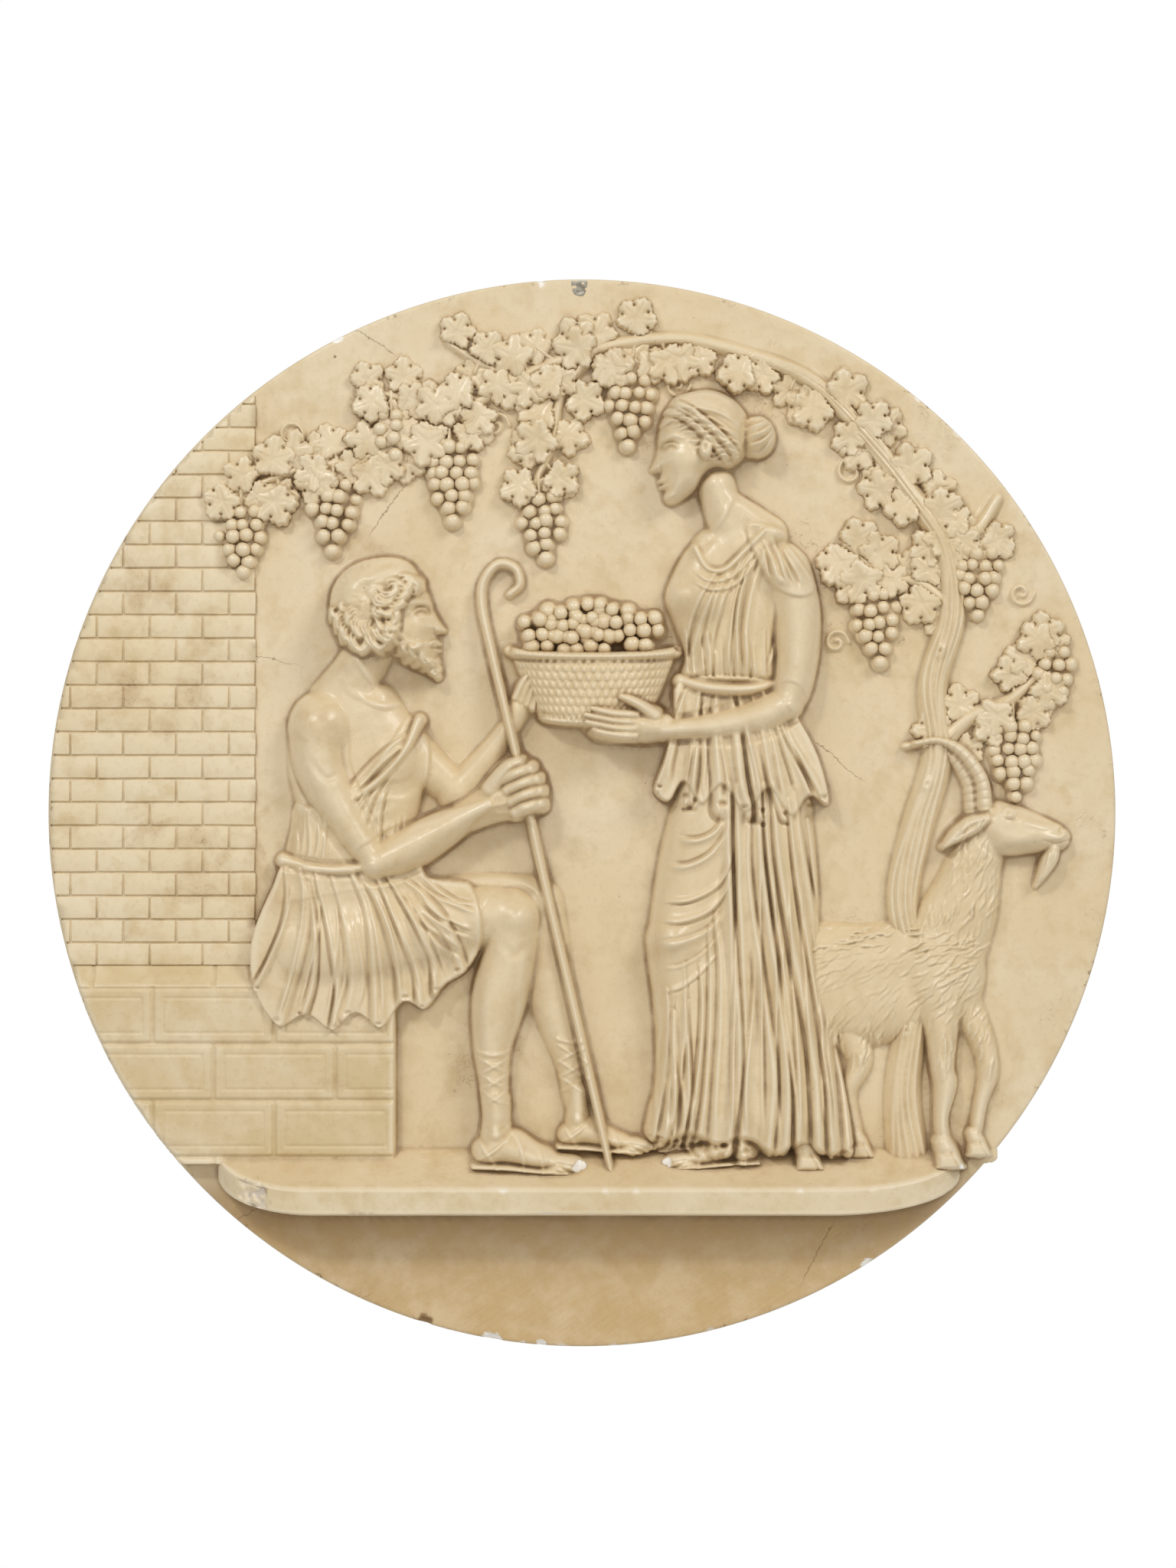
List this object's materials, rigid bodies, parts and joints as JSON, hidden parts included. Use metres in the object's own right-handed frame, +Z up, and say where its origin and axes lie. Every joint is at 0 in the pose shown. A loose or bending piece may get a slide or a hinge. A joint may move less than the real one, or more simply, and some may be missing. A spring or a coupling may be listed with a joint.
{
  "type": "round relief plaque",
  "caption": "Round cast plaster wall plaque with figures of a pastoral scene standing on a projecting ledge below a fruiting vine.",
  "frame": {"origin": "centre of the flat back face, where the plaque meets the wall", "axes": "+Z up the wall, +Y out of the back into the wall, so the carved front faces -Y, and +X to the right as seen from the front"},
  "size_m": [0.74, 0.074, 0.74],
  "materials": {
    "cream_plaster": "satin aged plaster"
  },
  "bodies": {
    "root": {"plaque": "cream_plaster"}
  },
  "joints": []
}
